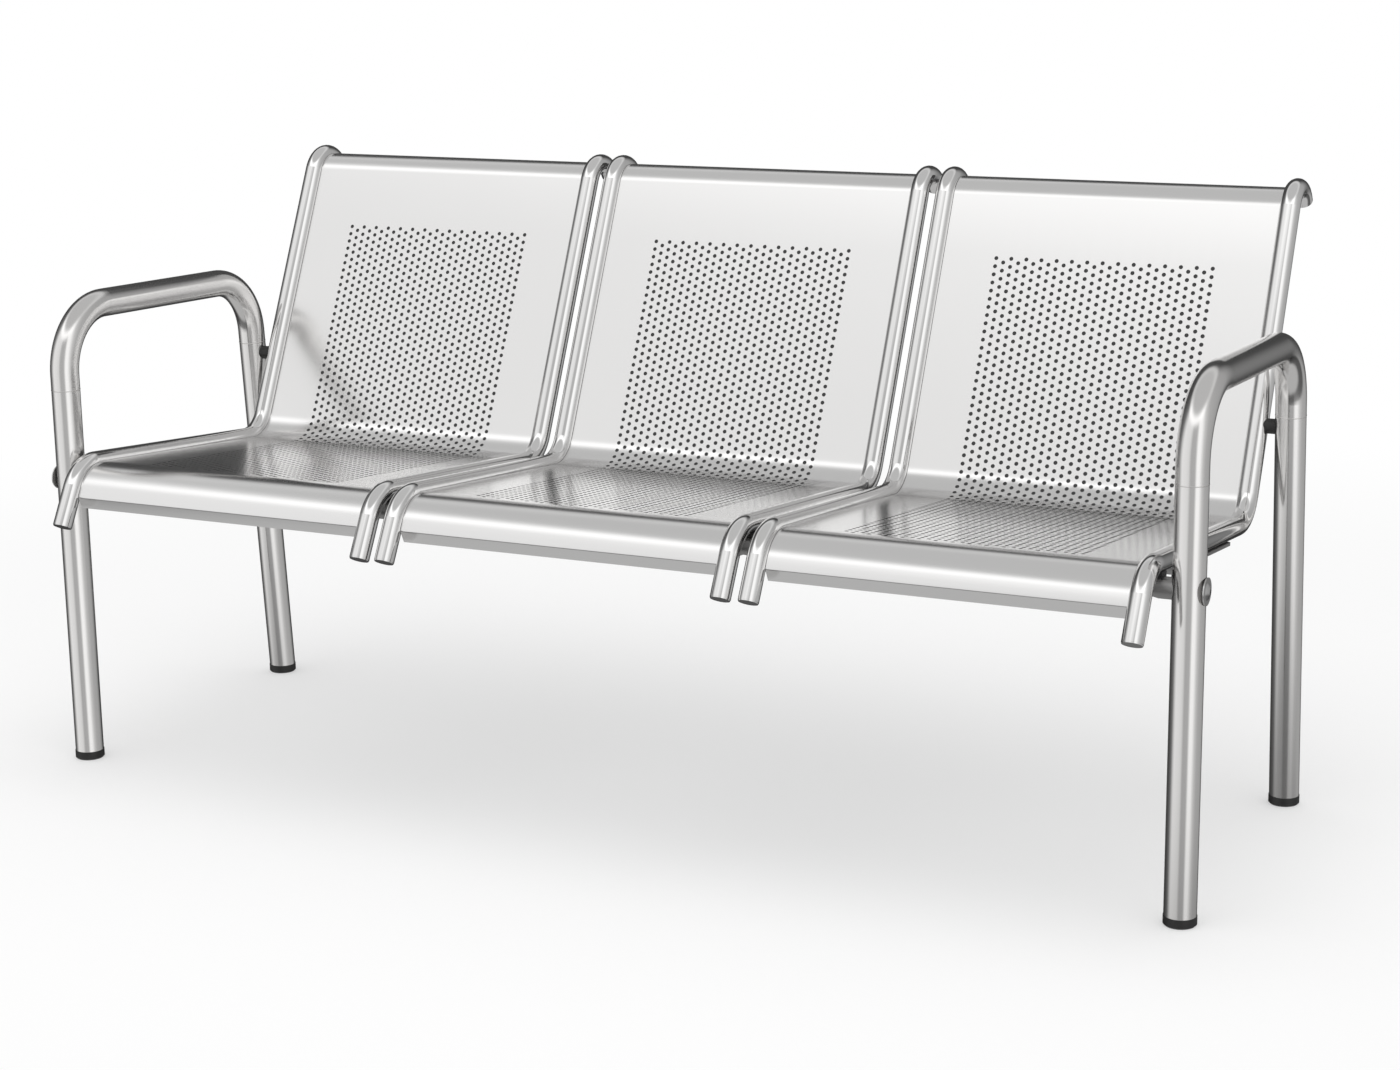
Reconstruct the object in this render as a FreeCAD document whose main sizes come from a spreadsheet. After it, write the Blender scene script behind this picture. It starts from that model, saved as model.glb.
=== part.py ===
# Three-seat waiting bench in stainless steel tube and sheet.
#
# Each seat is one formed sheet carried between two bent side tubes. Two cross tubes under the seats
# join the three seats. A leg frame at each end is bolted to the front cross tube and to the back of
# the end seat, and its top is the armrest.
#
# Millimetres. +X runs along the bench to its right-hand end, +Y to the rear and +Z up. The origin is
# on the floor at the middle of the outer box. Profiles are drawn in YZ from the front legs' axis.

import FreeCAD, Part
import math
import os
import Sketcher

doc = FreeCAD.newDocument("WaitingBench")

# Driving dimensions: lengths in millimetres, angles in degrees
SIZES = {
    # Stock
    "side_tube_od": 25.4,
    "side_tube_wall": 1.5,
    "leg_od": 38.1,
    "leg_wall": 1.5,
    "cross_tube_od": 25.4,
    "cross_tube_wall": 2.0,
    "sheet_thickness": 1.5,
    "cap_thickness": 1.5,
    "cap_inset": 0.5,
    # Along the bench
    "seat_pitch": 500.0,
    "pair_gap": 11.0,
    "leg_gap": 9.0,
    # Side tube, from its front end over the seat and the back to its rear end
    "seat_height": 420.0,
    "seat_slope": 5.2,
    "front_run": 55.0,
    "front_lean": 29.0,
    "front_bend": 50.0,
    "seat_run": 345.0,
    "seat_bend": 50.0,
    "back_run": 374.0,
    "back_lean": 25.2,
    "arch_bend": 35.0,
    "arch_turn": 122.0,
    "arch_tail": 4.0,
    # Formed sheet beyond the seat and the back
    "roll_run": 12.0,
    "hem_bend": 3.0,
    "hem_turn": 54.0,
    "hem_run": 16.0,
    "curl_turn": 108.0,
    # Leg frames
    "rear_foot_reach": 467.0,
    "arm_height": 622.0,
    "arm_fall": 2.0,
    "arm_bend": 85.0,
    "splice_height": 514.0,
    "joint_height": 498.0,
    # Feet
    "foot_height": 11.5,
    "foot_lip": 0.6,
    "foot_taper": 2.0,
    "foot_plug_height": 14.0,
    "foot_plug_gap": 1.5,
    # Seats to front cross tube
    "saddle_thickness": 1.0,
    "saddle_width": 22.0,
    "saddle_lead": 4.0,
    "saddle_rear": 11.0,
    "saddle_height": 9.0,
    "bolt_socket_flats": 6.0,
    "seat_bolt_diameter": 8.0,
    "seat_bolt_head_flats": 13.0,
    "seat_bolt_head_height": 5.3,
    "front_bolt_head_diameter": 13.0,
    "front_bolt_head_height": 8.0,
    "front_bolt_socket_depth": 4.0,
    "front_bolt_access": 15.0,
    "insert_diameter": 12.0,
    "insert_length": 8.0,
    # Seats to rear cross tube
    "rear_mount_run": 192.0,
    "plate_thickness": 4.0,
    "plate_front": 26.0,
    "plate_rear": 104.0,
    "plate_overhang": 8.0,
    "plate_margin": 15.0,
    "plate_corner": 6.0,
    "plate_bolt_offset": 27.0,
    "nut_height": 6.5,
    "bolt_tail": 1.5,
    "rear_cross_setback": 12.0,
    "rear_cap_thickness": 2.5,
    "rear_cap_plug_length": 8.0,
    # Leg frames to seats
    "leg_bolt_diameter": 10.0,
    "leg_bolt_head_diameter": 20.0,
    "leg_bolt_head_height": 3.5,
    "leg_bolt_socket_depth": 2.5,
    "leg_washer_diameter": 32.0,
    "leg_washer_thickness": 1.5,
    "plug_length": 14.0,
    "spacer_diameter": 19.0,
    "stud_diameter": 8.0,
    # Between curved faces that meet, and round bolts, inserts and plugs
    "joint_gap": 0.3,
}

# Sizes and places that follow from the driving dimensions. The headings are the directions of the
# side tube's runs, in degrees up from the rearward horizontal.
LAYOUT = {
    "side_tube_radius": "Sizes.side_tube_od / 2",
    "leg_radius": "Sizes.leg_od / 2",
    "cross_tube_radius": "Sizes.cross_tube_od / 2",
    "half_span": "(Sizes.seat_pitch - Sizes.side_tube_od - Sizes.pair_gap) / 2",
    "end_tube_x": "Sizes.seat_pitch + half_span",
    "leg_x": "end_tube_x + side_tube_radius + Sizes.leg_gap + leg_radius",
    "sheet_width": "2 * half_span - Sizes.side_tube_od - 2 * Sizes.joint_gap",
    "front_heading": "90 - Sizes.front_lean",
    "seat_heading": "-Sizes.seat_slope",
    "back_heading": "90 - Sizes.back_lean",
    "rear_heading": "back_heading - Sizes.arch_turn",
    "hem_heading": "front_heading + Sizes.hem_turn",
    "curl_heading": "back_heading - Sizes.curl_turn",
    # Front end of the side tube
    "front_bend_y": "Sizes.front_bend * (sin(seat_heading) - sin(front_heading))",
    "front_bend_z": "Sizes.seat_height + Sizes.front_bend * (cos(front_heading) - cos(seat_heading))",
    "front_end_y": "front_bend_y - Sizes.front_run * cos(front_heading)",
    "front_end_z": "front_bend_z - Sizes.front_run * sin(front_heading)",
    # Foot of the back and rear end of the side tube
    "seat_end_y": "Sizes.seat_run * cos(seat_heading)",
    "seat_end_z": "Sizes.seat_height + Sizes.seat_run * sin(seat_heading)",
    "back_y": "seat_end_y + Sizes.seat_bend * (sin(back_heading) - sin(seat_heading))",
    "back_z": "seat_end_z + Sizes.seat_bend * (cos(seat_heading) - cos(back_heading))",
    "arch_y": "back_y + Sizes.back_run * cos(back_heading)",
    "arch_z": "back_z + Sizes.back_run * sin(back_heading)",
    "rear_end_y": "arch_y + Sizes.arch_bend * (sin(back_heading) - sin(rear_heading))"
                  " + Sizes.arch_tail * cos(rear_heading)",
    "rear_end_z": "arch_z + Sizes.arch_bend * (cos(rear_heading) - cos(back_heading))"
                  " + Sizes.arch_tail * sin(rear_heading)",
    # Joint of the rear leg with the back, and the leg's splay
    "joint_y": "back_y + (Sizes.joint_height - back_z) / tan(back_heading)",
    "splay_slope": "(Sizes.rear_foot_reach - joint_y) / Sizes.joint_height",
    "splay": "atan(splay_slope) / 1 deg",
    "rear_leg_length": "Sizes.splice_height / cos(splay)",
    "rear_foot_y": "Sizes.rear_foot_reach - splay_slope * Sizes.foot_height",
    # Arm hoop, from the rear leg forward
    "rear_splice_y": "Sizes.rear_foot_reach - splay_slope * Sizes.splice_height",
    "arm_rear_y": "(Sizes.rear_foot_reach - splay_slope * Sizes.arm_height)"
                  " / (1 - splay_slope * tan(Sizes.arm_fall))",
    "arm_rear_z": "Sizes.arm_height - arm_rear_y * tan(Sizes.arm_fall)",
    "arm_front_tangent": "Sizes.arm_bend * tan((90 + Sizes.arm_fall) / 2)",
    "arm_rear_tangent": "Sizes.arm_bend * tan((90 - Sizes.arm_fall - splay) / 2)",
    "arm_front_rise": "Sizes.arm_height - Sizes.splice_height - arm_front_tangent",
    "arm_run": "arm_rear_y / cos(Sizes.arm_fall) - arm_front_tangent - arm_rear_tangent",
    "arm_rear_rise": "(arm_rear_z - Sizes.splice_height) / cos(splay) - arm_rear_tangent",
    # Mounts on the seat run: distance along the run, then down square to it
    "front_mount_depth": "side_tube_radius + Sizes.saddle_thickness + cross_tube_radius",
    "front_mount_run": "front_mount_depth * tan(Sizes.seat_slope)",
    "front_mount_y": "front_mount_run * cos(Sizes.seat_slope)",
    "saddle_front": "front_mount_run + Sizes.saddle_lead",
    "front_mount_z": "Sizes.seat_height - front_mount_run * sin(Sizes.seat_slope)",
    "front_cross_z": "Sizes.seat_height - front_mount_depth / cos(Sizes.seat_slope)",
    "front_head_depth": "front_mount_depth + Sizes.joint_gap"
                        " - sqrt((cross_tube_radius - Sizes.cross_tube_wall) ^ 2"
                        " - (Sizes.front_bolt_head_diameter / 2) ^ 2)",
    "plate_top_depth": "side_tube_radius + Sizes.joint_gap",
    "plate_depth": "plate_top_depth + Sizes.plate_thickness",
    "rear_mount_depth": "plate_depth + Sizes.joint_gap + cross_tube_radius",
    "rear_mount_y": "Sizes.rear_mount_run * cos(Sizes.seat_slope)",
    "rear_mount_z": "Sizes.seat_height - Sizes.rear_mount_run * sin(Sizes.seat_slope)",
    "rear_cross_y": "rear_mount_y - rear_mount_depth * sin(Sizes.seat_slope)",
    "rear_cross_z": "rear_mount_z - rear_mount_depth * cos(Sizes.seat_slope)",
    "rear_cross_half": "end_tube_x - Sizes.rear_cross_setback",
    # Seat plates, across the bench: from the bolt on the seat's side, and out past the tube
    "plate_reach": "Sizes.plate_bolt_offset + Sizes.plate_margin",
    "pair_plate_half": "Sizes.seat_pitch / 2 - half_span + plate_reach",
    "end_plate_width": "Sizes.plate_overhang + plate_reach",
    "end_plate_x": "end_tube_x + (Sizes.plate_overhang - plate_reach) / 2",
    # Leg bolts: the inner end of the plug, the washer's seat, and the dome's radius
    "plug_x": "leg_x - leg_radius - Sizes.joint_gap - Sizes.plug_length",
    "washer_x": "leg_x + leg_radius + Sizes.joint_gap",
    "dome_radius": "((Sizes.leg_bolt_head_diameter / 2) ^ 2 + Sizes.leg_bolt_head_height ^ 2)"
                   " / (2 * Sizes.leg_bolt_head_height)",
    # Outer box along Y, and the front legs' axis from its middle
    "front_extent": "front_end_y - Sizes.cap_thickness * cos(front_heading)"
                    " - side_tube_radius * sin(front_heading)",
    "rear_extent": "rear_end_y + Sizes.cap_thickness * cos(rear_heading)"
                   " - side_tube_radius * sin(rear_heading)",
    "front_axis_y": "-(front_extent + rear_extent) / 2",
}


def fill_sheet(name, cells):
    """Write one alias per row into a new spreadsheet."""
    sheet = doc.addObject("Spreadsheet::Sheet", name)
    for row, (alias, content) in enumerate(cells.items(), start=1):
        sheet.set(f"A{row}", alias)
        sheet.set(f"B{row}", content if isinstance(content, str) else str(content))
        sheet.setAlias(f"B{row}", alias)
    doc.recompute()
    return sheet


sizes = fill_sheet("Sizes", SIZES)
layout = fill_sheet("Layout", {alias: "=" + formula for alias, formula in LAYOUT.items()})


def size(expression):
    """Value of an expression on the two sheets, for a sketch's first shape."""
    return float(layout.evalExpression(expression))


AXES = {"x": "Base.x", "y": "Base.y", "z": "Base.z", "turn": "Rotation.Angle"}
RIGHT_ANGLE = 90
parts = []


def keep(part, label):
    """Name a finished sub-part and list it for writing."""
    part.Label = label
    parts.append(part)
    return part


def place(part, prop="Placement", axis=FreeCAD.Vector(1, 0, 0), **terms):
    """Bind a placement to the sheets: x, y and z, and a turn about the given axis."""
    setattr(part, prop, FreeCAD.Placement(FreeCAD.Vector(), FreeCAD.Rotation(axis, RIGHT_ANGLE)))
    for term, path in AXES.items():
        part.setExpression(f"{prop}.{path}", terms.get(term, "0"))
    return part


def origin_plane(body, role):
    """One of a body's own origin planes."""
    return next(feature for feature in body.Origin.OriginFeatures if feature.Role == role)


def sketch_on_plane(body, name, role):
    """An empty sketch on one of the body's origin planes."""
    sketch = body.newObject("Sketcher::SketchObject", name)
    sketch.AttachmentSupport = [(origin_plane(body, role), "")]
    sketch.MapMode = "FlatFace"
    return sketch


def constrain(sketch, kind, *places, expression):
    """Add one dimension to a sketch and bind it to the sheets."""
    index = sketch.addConstraint(Sketcher.Constraint(kind, *places, size(expression)))
    name = f"{kind.lower()}_{index}"
    sketch.renameConstraint(index, name)
    sketch.setExpression(f"Constraints.{name}", expression)


def circle(sketch, radius):
    """A circle about the sketch's origin."""
    index = sketch.addGeometry(Part.Circle(FreeCAD.Vector(), FreeCAD.Vector(0, 0, 1), size(radius)))
    sketch.addConstraint(Sketcher.Constraint("Coincident", index, 3, -1, 1))
    constrain(sketch, "Radius", index, expression=radius)


def ring(sketch, outer_diameter, wall):
    """The section of a round tube about the sketch's origin."""
    circle(sketch, f"{outer_diameter} / 2")
    circle(sketch, f"{outer_diameter} / 2 - {wall}")


def bent_path(body, name, runs, bends, anchor, anchor_y, anchor_z):
    """Draw straight runs joined by tangent bends on the body's YZ plane.

    Each run is its heading and its length, and each bend its radius. The start of the run numbered
    by anchor lies at the anchor point.
    """
    sketch = sketch_on_plane(body, name, "YZ_Plane")
    point = FreeCAD.Vector()
    shapes = []
    starts = []
    for number, (heading, length) in enumerate(runs):
        angle = math.radians(size(heading))
        along = FreeCAD.Vector(math.cos(angle), math.sin(angle), 0)
        starts.append(point)
        end = point + along * size(length)
        shapes.append(Part.LineSegment(point, end))
        point = end
        if number < len(bends):
            radius = size(bends[number])
            turned = math.radians(size(runs[number + 1][0]))
            left = FreeCAD.Vector(-along.y, along.x, 0)
            side = 1 if turned > angle else -1
            centre = point + left * radius * side
            first = angle - side * math.pi / 2
            last = turned - side * math.pi / 2
            point = centre + FreeCAD.Vector(math.cos(last), math.sin(last), 0) * radius
            disc = Part.Circle(centre, FreeCAD.Vector(0, 0, 1), radius)
            shapes.append(Part.ArcOfCircle(disc, min(first, last), max(first, last)))
    shift = FreeCAD.Vector(size(anchor_y), size(anchor_z), 0) - starts[anchor]
    for shape in shapes:
        shape.translate(shift)
        sketch.addGeometry(shape)
    for number, radius in enumerate(bends):
        run, bend = 2 * number, 2 * number + 1
        rising = size(runs[number + 1][0]) > size(runs[number][0])
        near, far = (1, 2) if rising else (2, 1)
        sketch.addConstraint(Sketcher.Constraint("Tangent", run, 2, bend, near))
        sketch.addConstraint(Sketcher.Constraint("Tangent", bend, far, run + 2, 1))
        constrain(sketch, "Radius", bend, expression=radius)
    for number, (heading, length) in enumerate(runs):
        constrain(sketch, "Angle", 2 * number, expression=heading)
        constrain(sketch, "Distance", 2 * number, expression=length)
    constrain(sketch, "DistanceX", -1, 1, 2 * anchor, 1, expression=anchor_y)
    constrain(sketch, "DistanceY", -1, 1, 2 * anchor, 1, expression=anchor_z)
    return sketch


def section_at_start(body, path):
    """An empty sketch square to the start of a path: its x is the body's X."""
    sketch = body.newObject("Sketcher::SketchObject", "Section")
    sketch.AttachmentSupport = [(path, "Edge1")]
    sketch.MapMode = "NormalToEdge"
    sketch.MapPathParameter = 0.0
    return sketch


def sweep(body, path, section):
    """Carry a section along a path."""
    pipe = body.newObject("PartDesign::AdditivePipe", "Sweep")
    pipe.Profile = section
    pipe.Spine = path
    doc.recompute()
    return pipe


def bore(body, name, radius, length, **terms):
    """Cut a round hole into a body, along the local Z of its placement."""
    cut = body.newObject("PartDesign::SubtractiveCylinder", name)
    cut.MapMode = "Deactivated"
    cut.setExpression("Radius", radius)
    cut.setExpression("Height", length)
    return place(cut, **terms)


def new_body(label, x):
    """A body whose YZ profile plane stands at x, with its Y measured from the front legs' axis."""
    body = doc.addObject("PartDesign::Body", "Body")
    keep(body, label)
    return place(body, x=x, y="Layout.front_axis_y")


def cylinder(radius, height, **terms):
    """A round bar standing on its placement's origin."""
    bar = doc.addObject("Part::Cylinder", "Bar")
    bar.setExpression("Radius", radius)
    bar.setExpression("Height", height)
    return place(bar, **terms)


def hexagon(flats, height, **terms):
    """A hexagonal bar of the given width across flats."""
    bar = doc.addObject("Part::Prism", "Hexagon")
    bar.Polygon = 6
    bar.setExpression("Circumradius", f"{flats} / (2 * cos(30))")
    bar.setExpression("Height", height)
    return place(bar, **terms)


def cut(base, *tools):
    """Take the tools away from a base shape."""
    for tool in tools:
        result = doc.addObject("Part::Cut", "Cut")
        result.Base = base
        result.Tool = tool
        base = result
    return base


def fuse(*shapes):
    """Join shapes into one solid."""
    result = doc.addObject("Part::MultiFuse", "Fuse")
    result.Shapes = list(shapes)
    return result


def group(label, pieces):
    """One sub-part of several separate, alike solids."""
    result = doc.addObject("Part::Compound", "Group")
    result.Links = list(pieces)
    keep(result, label)
    return place(result, y="Layout.front_axis_y")


SEATS = {"left": "-Sizes.seat_pitch", "middle": "0", "right": "Sizes.seat_pitch"}
SIDES = {"left": "-1", "right": "1"}
INSERT_BORE = "(Sizes.insert_diameter / 2 + Sizes.joint_gap)"
SEAT_BOLT_BORE = "(Sizes.seat_bolt_diameter / 2 + Sizes.joint_gap)"
LEG_BOLT_BORE = "(Sizes.leg_bolt_diameter / 2 + Sizes.joint_gap)"
ALONG_X = FreeCAD.Vector(0, 1, 0)


def tube_positions():
    """Each side tube's name, its X and the sign of the side of its seat that it stands on."""
    for seat, centre in SEATS.items():
        for side, sign in SIDES.items():
            yield f"{seat}_seat_{side}_tube", f"({centre} + {sign} * Layout.half_span)", sign


TUBES = list(tube_positions())
END_TUBES = {"left": TUBES[0][0], "right": TUBES[-1][0]}


def square_to_seat(x, mount, depth, along="0", turn="-Sizes.seat_slope"):
    """Placement terms of a point below a mount on the seat run, with Z square to the run."""
    return {
        "x": x,
        "y": f"Layout.{mount}_mount_y - ({depth}) * sin(Sizes.seat_slope)"
             f" + ({along}) * cos(Sizes.seat_slope)",
        "z": f"Layout.{mount}_mount_z - ({depth}) * cos(Sizes.seat_slope)"
             f" - ({along}) * sin(Sizes.seat_slope)",
        "turn": turn,
    }


# Side tubes: each is bent three times in one plane
TUBE_RUNS = [
    ("Layout.front_heading", "Sizes.front_run"),
    ("Layout.seat_heading", "Sizes.seat_run"),
    ("Layout.back_heading", "Sizes.back_run"),
    ("Layout.rear_heading", "Sizes.arch_tail"),
]
TUBE_BENDS = ["Sizes.front_bend", "Sizes.seat_bend", "Sizes.arch_bend"]

for label, x, sign in TUBES:
    body = new_body(label, x)
    path = bent_path(body, "Path", TUBE_RUNS, TUBE_BENDS, 1, "0", "Sizes.seat_height")
    section = section_at_start(body, path)
    ring(section, "Sizes.side_tube_od", "Sizes.side_tube_wall")
    sweep(body, path, section)
    bore(body, "InsertHole", INSERT_BORE, "Sizes.side_tube_od",
         **square_to_seat("0", "front", "Sizes.side_tube_od"))
    if label == END_TUBES["left" if sign == "-1" else "right"]:
        bore(body, "JointHole", INSERT_BORE, "Sizes.side_tube_od", axis=ALONG_X, x="0",
             y="Layout.joint_y", z="Sizes.joint_height", turn=f"{sign} * 90")

# Formed seats: one sheet follows the side tubes' centre line from a turned-in hem under the front
# roll to the curl behind the top
SHEET_RUNS = [
    ("Layout.hem_heading", "Sizes.hem_run"),
    ("Layout.front_heading", "Sizes.roll_run"),
    ("Layout.seat_heading", "Sizes.seat_run"),
    ("Layout.back_heading", "Sizes.back_run"),
    ("Layout.curl_heading", "Sizes.arch_tail"),
]
SHEET_BENDS = ["Sizes.hem_bend", "Sizes.front_bend", "Sizes.seat_bend", "Sizes.arch_bend"]

for seat, centre in SEATS.items():
    body = new_body(f"{seat}_seat_sheet", centre)
    path = bent_path(body, "Path", SHEET_RUNS, SHEET_BENDS, 2, "0", "Sizes.seat_height")
    section = section_at_start(body, path)
    half_width = size("Layout.sheet_width") / 2
    half_thickness = size("Sizes.sheet_thickness") / 2
    corners = [
        FreeCAD.Vector(sx * half_width, sy * half_thickness, 0)
        for sx, sy in ((-1, -1), (1, -1), (1, 1), (-1, 1))
    ]
    for start, end in zip(corners, corners[1:] + corners[:1]):
        section.addGeometry(Part.LineSegment(start, end))
    for edge in range(4):
        section.addConstraint(Sketcher.Constraint("Coincident", edge, 2, (edge + 1) % 4, 1))
        section.addConstraint(Sketcher.Constraint("Vertical" if edge % 2 else "Horizontal", edge))
    section.addConstraint(Sketcher.Constraint("Symmetric", 0, 1, 1, 2, -1, 1))
    constrain(section, "Distance", 0, expression="Layout.sheet_width")
    constrain(section, "Distance", 1, expression="Sizes.sheet_thickness")
    sweep(body, path, section)


# Leg frames: a straight front leg, a straight splayed rear leg and a bent armrest hoop, all of one
# tube, with butt-welded joints at the splice height


def straight_tube(label, plane, outer_diameter, wall, length, both_ways=False, **terms):
    """A straight round tube drawn on one of its body's planes."""
    body = doc.addObject("PartDesign::Body", "Body")
    keep(body, label)
    place(body, **terms)
    section = sketch_on_plane(body, "Section", plane)
    ring(section, outer_diameter, wall)
    pad = body.newObject("PartDesign::Pad", "Length")
    pad.Profile = section
    pad.setExpression("Length", length)
    pad.Midplane = both_ways
    doc.recompute()
    return body


LEG_STOCK = ("Sizes.leg_od", "Sizes.leg_wall")
HOOP_RUNS = [
    ("90 + Layout.splay", "Layout.arm_rear_rise"),
    ("180 - Sizes.arm_fall", "Layout.arm_run"),
    ("270", "Layout.arm_front_rise"),
]

for side, sign in SIDES.items():
    x = f"{sign} * Layout.leg_x"
    body = straight_tube(f"{side}_front_leg", "XY_Plane", *LEG_STOCK,
                         "Sizes.splice_height - Sizes.foot_height",
                         x=x, y="Layout.front_axis_y", z="Sizes.foot_height")
    bore(body, "BoltHole", LEG_BOLT_BORE, "2 * Sizes.leg_od", axis=ALONG_X,
         x="-Sizes.leg_od", z="Layout.front_cross_z - Sizes.foot_height", turn="90")

    body = straight_tube(f"{side}_rear_leg", "XY_Plane", *LEG_STOCK, "Layout.rear_leg_length",
                         x=x, y="Layout.front_axis_y + Sizes.rear_foot_reach", turn="Layout.splay")
    trim = body.newObject("PartDesign::SubtractiveBox", "FootTrim")
    trim.MapMode = "Deactivated"
    for length in ("Length", "Width", "Height"):
        trim.setExpression(length, "2 * Sizes.leg_od")
    below = "(Sizes.foot_height - 2 * Sizes.leg_od)"
    place(trim, x="-Sizes.leg_od",
          y=f"{below} * sin(Layout.splay) - Sizes.leg_od * cos(Layout.splay)",
          z=f"{below} * cos(Layout.splay) + Sizes.leg_od * sin(Layout.splay)",
          turn="-Layout.splay")
    bore(body, "JointHole", INSERT_BORE, "Sizes.leg_od", axis=ALONG_X,
         z="Sizes.joint_height / cos(Layout.splay)", turn=f"{sign} * (-90)")

    body = new_body(f"{side}_arm_hoop", x)
    path = bent_path(body, "Path", HOOP_RUNS, ["Sizes.arm_bend"] * 2, 0, "Layout.rear_splice_y",
                     "Sizes.splice_height")
    section = section_at_start(body, path)
    ring(section, *LEG_STOCK)
    sweep(body, path, section)

# Feet: moulded caps with a plug up inside the leg
for side, sign in SIDES.items():
    for leg, y in {"front": "0", "rear": "Layout.rear_foot_y"}.items():
        body = doc.addObject("PartDesign::Body", "Body")
        keep(body, f"{side}_{leg}_foot")
        place(body, x=f"{sign} * Layout.leg_x", y=f"Layout.front_axis_y + {y}")
        profile = sketch_on_plane(body, "Profile", "XZ_Plane")
        rim = "Layout.leg_radius + Sizes.foot_lip"
        plug = "Layout.leg_radius - Sizes.leg_wall - Sizes.foot_plug_gap"
        corners = [
            ("0", "0"),
            (f"{rim} - Sizes.foot_taper", "0"),
            (rim, "Sizes.foot_taper"),
            (rim, "Sizes.foot_height"),
            (plug, "Sizes.foot_height"),
            (plug, "Sizes.foot_height + Sizes.foot_plug_height"),
            ("0", "Sizes.foot_height + Sizes.foot_plug_height"),
        ]
        points = [FreeCAD.Vector(size(across), size(up), 0) for across, up in corners]
        for start, end in zip(points, points[1:] + points[:1]):
            profile.addGeometry(Part.LineSegment(start, end))
        for edge, (across, up) in enumerate(corners):
            previous = (edge - 1) % len(corners)
            profile.addConstraint(Sketcher.Constraint("Coincident", previous, 2, edge, 1))
            if across == "0":
                profile.addConstraint(Sketcher.Constraint("PointOnObject", edge, 1, -2))
            else:
                constrain(profile, "DistanceX", -1, 1, edge, 1, expression=across)
            if up == "0":
                profile.addConstraint(Sketcher.Constraint("PointOnObject", edge, 1, -1))
            else:
                constrain(profile, "DistanceY", -1, 1, edge, 1, expression=up)
        turned = body.newObject("PartDesign::Revolution", "Turned")
        turned.Profile = profile
        turned.ReferenceAxis = (profile, ["V_Axis"])
        turned.Angle = 360
        doc.recompute()

# Front cross tube: its ends are coped to the front legs. Under each side tube it has a bolt hole in
# its upper wall and a wider hole below, through which the bolt goes in
CROSS_STOCK = ("Sizes.cross_tube_od", "Sizes.cross_tube_wall")
front_cross = straight_tube("front_cross_tube", "YZ_Plane", *CROSS_STOCK, "2 * Layout.leg_x", True,
                            y="Layout.front_axis_y", z="Layout.front_cross_z")
for sign in SIDES.values():
    bore(front_cross, "Cope", "Layout.leg_radius + Sizes.joint_gap", "2 * Sizes.leg_od",
         x=f"{sign} * Layout.leg_x", z="-Sizes.leg_od")
below_tube = {"y": "-Sizes.cross_tube_od * sin(Sizes.seat_slope)",
              "z": "-Sizes.cross_tube_od * cos(Sizes.seat_slope)", "turn": "-Sizes.seat_slope"}
for label, x, sign in TUBES:
    bore(front_cross, "BoltHole", SEAT_BOLT_BORE, "2 * Sizes.cross_tube_od", x=x, **below_tube)
    bore(front_cross, "AccessHole", "Sizes.front_bolt_access / 2", "Sizes.cross_tube_od", x=x,
         **below_tube)

# Rear cross tube: it stands clear of the rear legs
rear_cross = straight_tube("rear_cross_tube", "YZ_Plane", *CROSS_STOCK, "2 * Layout.rear_cross_half",
                           True, y="Layout.front_axis_y + Layout.rear_cross_y",
                           z="Layout.rear_cross_z", turn="-Sizes.seat_slope")
PLATE_BOLTS = [f"({x} - {sign} * Sizes.plate_bolt_offset)" for label, x, sign in TUBES]
for x in PLATE_BOLTS:
    bore(rear_cross, "BoltHole", SEAT_BOLT_BORE, "2 * Sizes.cross_tube_od", x=x,
         z="-Sizes.cross_tube_od")

# Seat plates: welded under the side tubes and bolted to the rear cross tube
PLATES = {
    "left_end_seat_plate": ("-Layout.end_plate_x", "Layout.end_plate_width / 2", PLATE_BOLTS[:1]),
    "left_pair_seat_plate": ("-Sizes.seat_pitch / 2", "Layout.pair_plate_half", PLATE_BOLTS[1:3]),
    "right_pair_seat_plate": ("Sizes.seat_pitch / 2", "Layout.pair_plate_half", PLATE_BOLTS[3:5]),
    "right_end_seat_plate": ("Layout.end_plate_x", "Layout.end_plate_width / 2", PLATE_BOLTS[5:]),
}

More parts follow.
